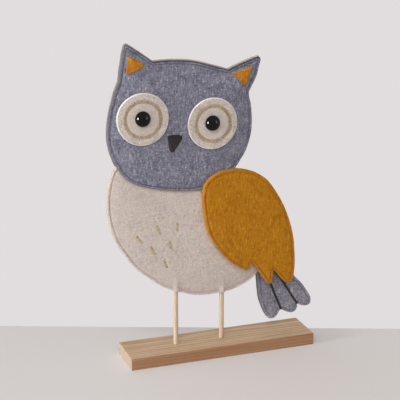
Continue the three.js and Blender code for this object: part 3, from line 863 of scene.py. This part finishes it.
def feltSheet(name, loop, side, back, face, finish, slotName, cadNode, seams=(1, 0), rings=None,
              grid=2.6 * mm, edgeRound=stuffing["edgeRound"], shaded=None, rims=(0, 0)):
    # A felt cut to an outline: a face and a back that follow two surfaces, and a soft cut edge between them.
    # seams says whether the face and the back are drawn in along the seam, and so where the groove's painted
    # shade lies; shaded gives the share of the groove's colour on a plain face; rims is how far the cut
    # edge's colour runs in over the face and back, carrying the painted highlight and shade of the head's
    # top edge and the eye discs' rim.
    flat, triangles, border = netted(loop, rings or (seamRings if any(seams) else plainRings), grid)
    onEdge = sorted({k for pair in border for k in pair})
    distance = np.maximum(distanceInside(loop, flat), 0)
    distance[onEdge] = 0
    depth = edgeRound - np.minimum(distance, edgeRound)
    rounding = edgeRound - np.sqrt(np.maximum(0, edgeRound ** 2 - depth ** 2))
    groove = bell(distance - stuffing["seamInset"], stuffing["grooveWidth"])
    top = face(flat, side)[0] - rounding - groove * stuffing["grooveDepth"] * seams[0]
    bottom = back(flat, side)[0] + rounding * 0.5 + groove * stuffing["grooveDepth"] * 0.6 * seams[1]
    total, steps = len(flat), len(wallTones) - 1
    verts = [(x, side * y, z) for heights in (top, bottom) for (x, z), y in zip(flat, heights)]
    faces = []
    for a, b, c in triangles:
        faces += [(a, b, c), (a + total, c + total, b + total)]
    # The groove attribute: the seams' grooves for their painted shade, unless shaded gives its own share for
    # the face.
    grooves = [*(shaded(flat) if shaded else groove * seams[0]), *(groove * seams[1])]
    walls, upward, outward = np.zeros((2, total)), np.zeros((2, total)), np.zeros((total, 2))
    walls[0, onEdge], walls[1, onEdge] = wallTones[0], wallTones[-1]
    for a, b in border:
        x, z = (flat[b] - flat[a]) / np.linalg.norm(flat[b] - flat[a])
        for k in (a, b):
            outward[k] += (z, -x)
    rungs, wallTurns = {}, []
    for k in onEdge:
        normal = outward[k] / max(np.linalg.norm(outward[k]), 1e-9)
        # How far the cut edge faces up, which picks the head's painted top-edge light and shade.
        upward[:, k] = max(0.0, normal[1])
        rungs[k] = [k]
        for step in range(1, steps):
            share = step / steps
            fray = 0.16 + 0.1 * noise.noise(Vector((*flat[k] * 900, step)))
            x, z = flat[k] + normal * fray * mm * math.sin(math.pi * share)
            rungs[k].append(len(verts))
            verts.append((x, side * (top[k] * (1 - share) + bottom[k] * share), z))
            wallTurns.append((0.0, wallTones[step], upward[0, k]))
        rungs[k].append(k + total)
    # The rims carry the edge colour, with its painted light and shade, in over the face and the back as far
    # as rims gives, facing as the nearest cut edge does.
    if any(rims):
        facing = upward[0, onEdge][((flat[:, None] - flat[onEdge]) ** 2).sum(2).argmin(1)]
        for i, reach in enumerate(rims):
            if reach:
                walls[i], upward[i] = np.clip(1.4 - distance / reach, 0, 1), facing
    for a, b in border:
        for step in range(steps):
            faces.append((rungs[b][step], rungs[a][step], rungs[a][step + 1], rungs[b][step + 1]))
    mesh = bpy.data.meshes.new(name)
    mesh.from_pydata(verts, [], [corners[::-1] for corners in faces] if side == rear else faces)
    given = (("groove", grooves), ("wall", walls.ravel()), ("upward", upward.ravel()))
    for (label, values), turned in zip(given, zip(*wallTurns)):
        mesh.attributes.new(label, "FLOAT", "POINT").data.foreach_set("value", [*values, *turned])
    mesh.update()
    addPiece(name, mesh, finish, slotName, cadNode)


# Stitches, laid along a path by one node tree

stitchSizes = {"Spacing": 0.003, "Length": 0.0025, "Radius": 0.0003, "Turn": 0.0, "Lean": 0.1,
               "Uneven": 0.15, "Arch": 1.2, "Seed": 4}


def stitchRecipe(sizes):
    group = bpy.data.node_groups.new("stitches", "GeometryNodeTree")
    for way in ("INPUT", "OUTPUT"):
        group.interface.new_socket("Geometry", in_out=way, socket_type="NodeSocketGeometry")
    for name, value in sizes.items():
        kind = "NodeSocketInt" if isinstance(value, int) else "NodeSocketFloat"
        group.interface.new_socket(name, in_out="INPUT", socket_type=kind).default_value = value
    group.interface.new_socket("Thread", in_out="INPUT", socket_type="NodeSocketMaterial")
    tree = Tree(group)
    given = tree.add("NodeGroupInput")
    spacing, length, radius, turn, lean, uneven, arch, seed = [given.also(name) for name in sizes]

    def chance(low, high, seed):
        return tree.add("FunctionNodeRandomValue", {2: low, 3: high, "Seed": seed}, 1, data_type="FLOAT")

    path = tree.add("GeometryNodeMeshToCurve", {"Mesh": given})
    laid = tree.add("GeometryNodeCurveToPoints", {"Curve": path, "Length": spacing}, mode="LENGTH")
    out = tree.add("GeometryNodeInputNamedAttribute", {"Name": "out"}, data_type="FLOAT_VECTOR")
    share = tree.add("GeometryNodeInputNamedAttribute", {"Name": "share"}, data_type="FLOAT")
    ways = {"Primary Axis": out, "Secondary Axis": laid.also("Tangent")}
    facing = tree.add("FunctionNodeAxesToRotation", ways, primary_axis="Z", secondary_axis="X")
    spin = tree.add("ShaderNodeCombineXYZ", {"Z": turn + chance(-1.0, 1.0, seed) * lean})
    spin = tree.add("FunctionNodeEulerToRotation", {"Euler": spin})
    facing = tree.add("FunctionNodeRotateRotation", {"Rotation": facing, "Rotate By": spin},
                      rotation_space="LOCAL")
    length = length * share * (1 - uneven * chance(0.0, 1.0, seed + 7.0))
    size = tree.add("ShaderNodeCombineXYZ", {"X": length, "Y": radius, "Z": radius})

    line = tree.add("GeometryNodeCurvePrimitiveLine", {"Start": (-0.5, 0, 0), "End": (0.5, 0, 0)},
                    mode="POINTS")
    line = tree.add("GeometryNodeResampleCurve", {"Curve": line, "Count": 6})
    along = tree.add("GeometryNodeSplineParameter")
    hump = along * (1 - along) * 4.0
    lift = tree.add("ShaderNodeCombineXYZ", {"Z": hump * arch})
    line = tree.add("GeometryNodeSetPosition", {"Geometry": line, "Offset": lift})
    ring = tree.add("GeometryNodeCurvePrimitiveCircle", {"Resolution": 6, "Radius": 1.0}, mode="RADIUS")
    girth = (hump ** 0.4).most(0.3)
    stitch = tree.add("GeometryNodeCurveToMesh", {"Curve": line, "Profile Curve": ring, "Scale": girth,
                                                  "Fill Caps": True})
    whole = tree.add("GeometryNodeInstanceOnPoints", {"Points": laid, "Instance": stitch, "Rotation": facing,
                                                      "Scale": size})
    whole = tree.add("GeometryNodeRealizeInstances", {"Geometry": whole})
    whole = tree.add("GeometryNodeSetMaterial", {"Geometry": whole, "Material": given.also("Thread")})
    tree.plug(whole, group.nodes.new("NodeGroupOutput").inputs["Geometry"])
    return group


stitching = stitchRecipe(stitchSizes)


def addStitches(name, paths, thread, slotName, *cadNodes, **sizes):
    # Stitches along paths. Each path has points, the side it faces and each stitch's share of the length.
    verts, edges, out, shares = [], [], [], []
    for points, side, share in paths:
        first, count = len(verts), len(points)
        edges.extend((first + i, first + i + 1) for i in range(count - 1))
        verts.extend(tuple(p) for p in points)
        out.extend([(0, side, 0)] * count)
        shares.extend(np.broadcast_to(share, count))
    mesh = bpy.data.meshes.new("path")
    mesh.from_pydata(verts, edges, [])
    given = (("out", "FLOAT_VECTOR", "vector", out), ("share", "FLOAT", "value", shares))
    for label, kind, field, values in given:
        mesh.attributes.new(label, kind, "POINT").data.foreach_set(field, np.array(values, float).ravel())
    path = addObject("path", mesh)
    change = path.modifiers.new("stitches", "NODES")
    change.node_group = stitching
    sizes["Thread"] = finishes[thread]
    for item in stitching.interface.items_tree:
        if item.in_out == "INPUT" and item.name in sizes:
            change[item.identifier] = sizes[item.name]
    made = applied(path)
    bpy.data.objects.remove(path)
    addPiece(name, made, thread, slotName, *cadNodes)


def onSurface(points, surface, side, lift=0.0):
    heights = surface(points, side)[0] + lift
    return [(x, side * y, z) for (x, z), y in zip(points, heights)]


# Felts

headTaller = 1.1 * mm           # the back of the head is cut a little taller than its face
taller = headTaller * fade(headLoop[:, 1], headZero[1] + 88 * mm, headZero[1] + 112 * mm)
tallLoop = headLoop + np.stack([0 * taller, taller], 1)
wornBody, wornHead, wornTallHead, wornWing, wornTail = [
    wornLoop(loop, amount * mm, seed) for loop, amount, seed in (
        (bodyLoop, 0.18, 1), (headLoop, 0.18, 2), (tallLoop, 0.18, 8), (wingLoop, 0.18, 3),
        (tailLoop, 0.15, 4))]


def addFelts():
    for name, side in (("Front", front), ("Back", rear)):
        feltSheet("body" + name, wornBody, side, bodyInner, bodyFace, "creamFelt", "cream_felt",
                  f"body_{name.lower()}_felt")
    # Their rims carry the top edge's colours in over the felts: painted shade over the face felt's top,
    # painted light over the back felt's strip above it.
    feltSheet("headFront", wornHead, front, headInner, headFace, "headFrontFelt", "grey_felt",
              "head_front_felt", rims=(0.8 * mm, 0))
    feltSheet("headBack", wornTallHead, rear, headInner, headFace, "headBackFelt", "grey_felt",
              "head_back_felt", rims=(0, 1.5 * mm))
    feltSheet("wingBack", wornWing, front, wingBack, wingMiddle, "mustardFelt", "mustard_felt",
              "wing_back_felt", seams=(0, 1))
    feltSheet("wingFront", wornWing, front, wingSecond, wingFace, "mustardFelt", "mustard_felt",
              "wing_front_felt")
    feltSheet("tailFront", wornTail, rear, tailBack, tailMiddle, "tailFeltPaintedLight", "grey_felt",
              "tail_front_felt", seams=(0, 1), grid=2.2 * mm)
    feltSheet("tailBack", wornTail, rear, tailSecond, tailFace, "tailFeltPaintedLight", "grey_felt",
              "tail_back_felt", grid=2.2 * mm)


addFelts()
print("felts cut")


# Eyes, beak and ear patches

eyeLook = {
    "disc": 2.5 * mm,
    "edgeRound": 0.9 * mm,
    "rim": 0.6 * mm,            # how far the painted highlight of the cut edge runs in over the face
    "ringRadius": 17.7 * mm,
    "ringPress": 0.55 * mm,
    "ringPressReach": 1.9 * mm,
    "beadHeight": 6.8 * mm,
    "beadRim": 0.7 * mm,
    "shank": 2.0 * mm,
    "washerHole": 2.25 * mm,
    "washerHub": 3.3 * mm,
}
ringStitches = {"Spacing": 0.74 * mm, "Length": 2.5 * mm, "Radius": 0.28 * mm, "Turn": math.pi / 2,
                "Lean": 0.16, "Uneven": 0.22, "Seed": 3}
discRings = [v * mm for v in (0.12, 0.35, 0.65, 1.0, 1.6, 2.4)]
hair = 0.02 * mm                # how far embroidery lies over the felt


def addEye(side, look=eyeLook):
    centre, radius, middle, bead = eyes[side]
    name = side.capitalize()
    place, ahead = (middle[0], 0, middle[1]), (0, front, 0)
    ringRadius, shank = look["ringRadius"], look["shank"]

    def fromCentre(points):
        return np.linalg.norm(points - centre, axis=1)

    def face(points, side):
        height, distance = headSeat(points, side)
        press = bell(fromCentre(points) - ringRadius, look["ringPressReach"])
        return height + look["disc"] - press * look["ringPress"] + lumps(points, 31) * 0.6, distance

    def insideRing(points):
        return fade(fromCentre(points), ringRadius + 1 * mm, ringRadius - 3 * mm)

    # The disc's edge colour is a painted highlight on its cut edge, run in over its face by rim.
    feltSheet("eyeDisc" + name, wornLoop(circleLoop(centre, radius, 0.9 * mm), 0.2 * mm, 5), front, headSeat,
              face, "discFelt", "cream_felt", f"eye_disc_{side}", seams=(0, 0), rings=discRings,
              grid=1.5 * mm, edgeRound=look["edgeRound"], shaded=insideRing, rims=(look["rim"], 0))
    circle = circleLoop(centre, ringRadius, 0.5 * mm)
    circle = np.vstack([circle, circle[:1]])
    addStitches("eyeRing" + name, [(onSurface(circle, face, front, hair), front, 1.0)], "ringThread",
                "khaki_thread", f"eye_ring_{side}", **ringStitches)

    seat = face(circleLoop(middle, bead * 0.8, 1 * mm), front)[0].max() + 0.05 * mm
    shankEnd = -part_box(f"eye_bead_{side}")[1].y
    rim, height = look["beadRim"], look["beadHeight"]
    profile = [(0, shankEnd), (shank - 0.3 * mm, shankEnd), (shank, shankEnd + 0.3 * mm),
               (shank, seat - 0.2 * mm), (shank + 0.2 * mm, seat), (bead - rim, seat)]
    profile += [(bead - rim + rim * math.sin(t), seat + rim * (1 - math.cos(t)))
                for t in np.linspace(0.3, math.pi / 2, 4)]
    profile += [(bead * math.cos(t), seat + rim + (height - rim) * math.sin(t))
                for t in np.linspace(0, math.pi / 2, 20)[1:-1]]
    profile.append((0, seat + height))
    addPiece("eyeBead" + name, lathe("bead", profile, place, ahead, 64), "blackBead", "black_plastic",
             f"eye_bead_{side}")

    low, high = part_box(f"eye_washer_{side}")
    outer, near, far = (high.x - low.x) / 2, -low.y, -high.y
    hole, hub, chamfer = look["washerHole"], look["washerHub"], 0.3 * mm
    washer = [(hole, near), (outer - chamfer, near), (outer, near - chamfer), (outer, far + 0.7 * mm),
              (outer - chamfer, far + 0.5 * mm), (hub + 0.4 * mm, far + 0.4 * mm), (hub, far), (hole, far)]
    addPiece("eyeWasher" + name, lathe("washer", washer, place, ahead, 40, ring=True), "paleWasher",
             "pale_plastic", f"eye_washer_{side}", sharp=40)


trimLook = {"beak": 1.5 * mm, "beakDome": 0.5 * mm, "beakReach": 4 * mm, "patch": 1.3 * mm,
            "patchCorner": 3.6 * mm, "edgeRound": 0.5 * mm}
patchCorners = {
    "left": [(-93.0, 138.2), (-75.6, 128.3), (-95.3, 119.4)],
    "right": [(34.0, 120.5), (13.0, 114.2), (26.8, 100.4)],
}


def addTrim(look):
    beakLoop = closedOutline("beak", 0.8, "beak")

    def beakFace(points, side):
        height, distance = headSeat(points, side)
        inside = np.clip(distanceInside(beakLoop, points) / look["beakReach"], 0, 1)
        return height + look["beak"] + look["beakDome"] * np.sqrt(inside), distance

    feltSheet("beakFelt", wornLoop(beakLoop, 0.15 * mm, 6), front, headSeat, beakFace, "charcoalFelt",
              "charcoal_felt", "beak", seams=(0, 0), grid=1.3 * mm, edgeRound=look["edgeRound"])
    patchFace = raised(headSeat, look["patch"], 41)
    for side, corners in patchCorners.items():
        loop = roundedLoop([headZero + np.array(corner) * mm for corner in corners], look["patchCorner"],
                           0.7 * mm)
        loop = wornLoop(loop if anticlockwise(loop) else loop[::-1], 0.4 * mm, 7)
        feltSheet("earPatch" + side.capitalize(), loop, front, headSeat, patchFace, "patchFelt",
                  "mustard_felt", f"ear_patch_{side}", seams=(0, 0), grid=1.6 * mm,
                  edgeRound=look["edgeRound"])


for side in eyes:
    addEye(side)
addTrim(trimLook)
print("face set on")


# Seams and embroidery

seamStitches = {"Spacing": 3.1 * mm, "Length": 2.7 * mm, "Radius": 0.33 * mm, "Lean": 0.03, "Uneven": 0.06,
                "Arch": -0.7, "Turn": 0.0}
seamLook = {
    "sunk": 0.42 * mm,          # the thread's middle lies this far under the felt's face
    "coverGap": 0.6 * mm,       # the seam stops this far from a piece that lies over it
    "legGap": 0.9 * mm,
}


def seamPaths(loop, surface, side, covers=(), facing=None, look=seamLook):
    # The seam round a felt, in stretches that stop at a dowel and where another piece lies over it.
    facing = facing or side
    points = insetRing(loop, stuffing["seamInset"])
    points = np.vstack([points, points[:1]])
    shown = np.ones(len(points), bool)
    for cover in covers:
        shown &= distanceInside(cover, points) < -look["coverGap"]
    if surface is bodyFace:
        for x in legX:
            shown &= np.abs(points[:, 0] - x) > legRadius + look["legGap"]
    placed = onSurface(points, surface, side, -look["sunk"] if facing == side else look["sunk"] * 0.7)
    paths, run = [], []
    for point, visible in [*zip(placed, shown), (None, False)]:
        if visible:
            run.append(point)
        else:
            if len(run) > 3:
                paths.append((run, facing, 1.0))
            run = []
    return paths


def addSeams():
    bodyNodes = [f"body_seam_thread_{part}" for part in ("left", "middle", "right")]
    for name, thread, slotName, nodes, seams in (
            ("bodySeam", "tanThread", "seam_thread", bodyNodes, (
                (bodyLoop, bodyFace, front, (headLoop, wingLoop)),
                (bodyLoop, bodyFace, rear, (headLoop, tailLoop)))),
            ("headSeam", "greyThread", "seam_thread", ["head_seam_thread"], (
                (headLoop, headFace, front, (wingLoop,)), (tallLoop, headFace, rear))),
            ("wingSeam", "mustardThread", "wing_thread", ["wing_seam_thread"], (
                (wingLoop, wingFace, front), (wingLoop, wingBack, front, (bodyLoop, headLoop), rear))),
            ("tailSeam", "greyThread", "seam_thread", ["tail_seam_thread"], (
                (tailLoop, tailBack, rear, (bodyLoop,), front), (tailLoop, tailFace, rear)))):
        paths = [path for seam in seams for path in seamPaths(*seam)]
        addStitches(name, paths, thread, slotName, *nodes, **seamStitches)


dashStitches = {"Spacing": 0.42 * mm, "Length": 3.3 * mm, "Radius": 0.24 * mm, "Turn": math.pi / 2 - 0.25,
                "Lean": 0.14, "Uneven": 0.2, "Seed": 9, "Arch": 1.0}
tailLines = {
    "inner": [(12.6, -24.5), (17.7, -37.5), (21.5, -46.6), (25.9, -57.4)],
    "outer": [(17.2, -12.8), (27.2, -26.2), (36.3, -40.9), (44.6, -53.6)],
}
tailStitches = {"Spacing": 0.34 * mm, "Length": 1.3 * mm, "Radius": 0.26 * mm, "Turn": math.pi / 2,
                "Lean": 0.12, "Uneven": 0.1, "Seed": 5, "Arch": 0.9}


def addEmbroidery():
    # Each dash is a leaf of satin stitch, shorter towards its ends.
    along = np.linspace(0, 1, 24)
    share = np.maximum(np.sqrt(np.maximum(0, 1 - (2 * along - 1) ** 2)), 0.2)
    paths = [(onSurface(start + (end - start) * along[:, None], bodyFace, front, hair), front, share)
             for start, end in dashes]
    addStitches("bellyStitches", paths, "khakiThread", "khaki_thread",
                *[f"belly_stitch_{i}" for i in range(1, 7)], **dashStitches)
    for name, points in tailLines.items():
        points = tailZero + smoothRun(points, 1.0) * mm
        paths = [(onSurface(points, tailBack, rear, -hair), front, 1.0),
                 (onSurface(points, tailFace, rear, hair), rear, 1.0)]
        addStitches("tailLine" + name.capitalize(), paths, "blackThread", "charcoal_felt",
                    f"tail_line_{name}", **tailStitches)


addSeams()
addEmbroidery()
print("seams and embroidery stitched")


# Wooden block and dowels

blockLook = {"edge": 0.6 * mm, "socket": 2.6 * mm, "socketDepth": 9 * mm, "countersink": 0.35 * mm}


def addBlock(look):
    low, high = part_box("base_block")
    made = bmesh.new()
    bmesh.ops.create_cube(made, size=1)
    for vert in made.verts:
        vert.co = [low[i] + (vert.co[i] + 0.5) * (high[i] - low[i]) for i in range(3)]
    bmesh.ops.bevel(made, geom=made.edges[:], offset=look["edge"], segments=3, profile=0.5, affect="EDGES")
    mesh = bpy.data.meshes.new("block")
    made.to_mesh(mesh)
    made.free()
    radius, sink, floor = look["socket"], look["countersink"], -look["socketDepth"] - 0.1 * mm
    drill = [(0, floor), (radius, floor), (radius, -sink), (radius + sink * 1.2, 0.02 * mm),
             (radius + sink * 1.2, 1 * mm), (0, 1 * mm)]
    drills = [lathe("drill", drill, (x, 0, high.z), (0, 0, 1), 40) for x in legX]
    addPiece("woodBlock", carved(mesh, drills), "blockWood", "block_wood", "base_block", sharp=0)


def addLegs():
    # Dowels with cut corners and a girth that wanders a hair.
    for side, x, (low, high) in zip(("left", "right"), legX, legBoxes):
        length, radius, cut = high.z - low.z, legRadius, 0.4 * mm
        profile = [(0, 0), (radius - cut, 0), (radius, cut)]
        for along in np.linspace(cut, length - cut, 40)[1:-1]:
            wander = hair * math.sin(along * 310 + x * 900)
            profile.append((radius - hair + wander, along))
        profile += [(radius, length - cut), (radius - cut, length), (0, length)]
        addPiece("leg" + side.capitalize(), lathe("leg", profile, (x, 0, low.z), (0, 0, 1), 40), "dowelWood",
                 "dowel_wood", f"leg_dowel_{side}", sharp=35)


addBlock(blockLook)
addLegs()
print("block and dowels turned")


# Stuffing, between the felts

fillingLook = {"inset": 7.5 * mm, "clear": 0.2 * mm, "tuft": 0.45 * mm, "tuftScale": 240, "round": 3.5 * mm,
               "fill": 0.35}
fillingRings = [v * mm for v in (0.3, 0.9, 1.8, 3.0, 4.5)]


def prism(loop, reach):
    count = len(loop)
    verts = [(x, y, z) for y in (-reach, reach) for x, z in loop]
    faces = [tuple(range(count)), tuple(range(2 * count - 1, count - 1, -1))]
    faces += [(i, i + count, (i + 1) % count + count, (i + 1) % count) for i in range(count)]
    return solid("prism", verts, faces)


def addFilling(name, outline, inner, seed, cutters, cadNode, look=fillingLook):
    # A tufted pad that fills the space between a front felt and a back felt.
    loop = insetRing(outline, look["inset"])[::2]
    flat, triangles, border = netted(loop, fillingRings, 3.2 * mm)
    distance = np.maximum(distanceInside(loop, flat), 0)
    fullness = np.sqrt(1 - (1 - np.minimum(distance / look["round"], 1)) ** 2)
    scale, total = look["tuftScale"], len(flat)
    tuft = np.array([abs(noise.noise(Vector((x * scale, z * scale, seed)))) for x, z in flat]) * look["tuft"]
    verts = []
    for side in (front, rear):
        heights = (inner(flat, side)[0] - look["clear"] - tuft) * fullness + 0.03 * mm
        verts += [(x, side * y, z) for (x, z), y in zip(flat, heights)]
    faces = triangles + [(a + total, c + total, b + total) for a, b, c in triangles]
    faces += [(b, a, a + total, b + total) for a, b in border]
    addPiece(name, carved(solid("wad", verts, faces), cutters), "wadding", "wadding", cadNode,
             padded=look["fill"])


def addFillings():
    # The body's pad leaves room for the dowels, and the head's for the body and the eyes' washers.
    rod, rodTop, far = legRadius + 0.6 * mm, legTop + 0.6 * mm, 30 * mm
    rods = [lathe("tube", [(0, -1), (rod, -1), (rod, rodTop), (0, rodTop)], (x, 0, 0), (0, 0, 1), 24)
            for x in legX]
    addFilling("bodyFilling", bodyLoop, bodyInner, 51, rods, "body_filling")
    cutters = [prism(insetRing(bodyLoop, -0.7 * mm)[::2], far)]
    for side, (_, _, middle, _) in eyes.items():
        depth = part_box(f"eye_bead_{side}")[1].y + 0.4 * mm
        radius = centreAndRadius(f"eye_washer_{side}")[1] + 0.4 * mm
        profile = [(0, -depth), (radius, -depth), (radius, far), (0, far)]
        cutters.append(lathe("pocket", profile, (middle[0], 0, middle[1]), (0, front, 0), 32))
    addFilling("headFilling", headLoop, headInner, 57, cutters, "head_filling")


addFillings()
print("stuffing laid in")
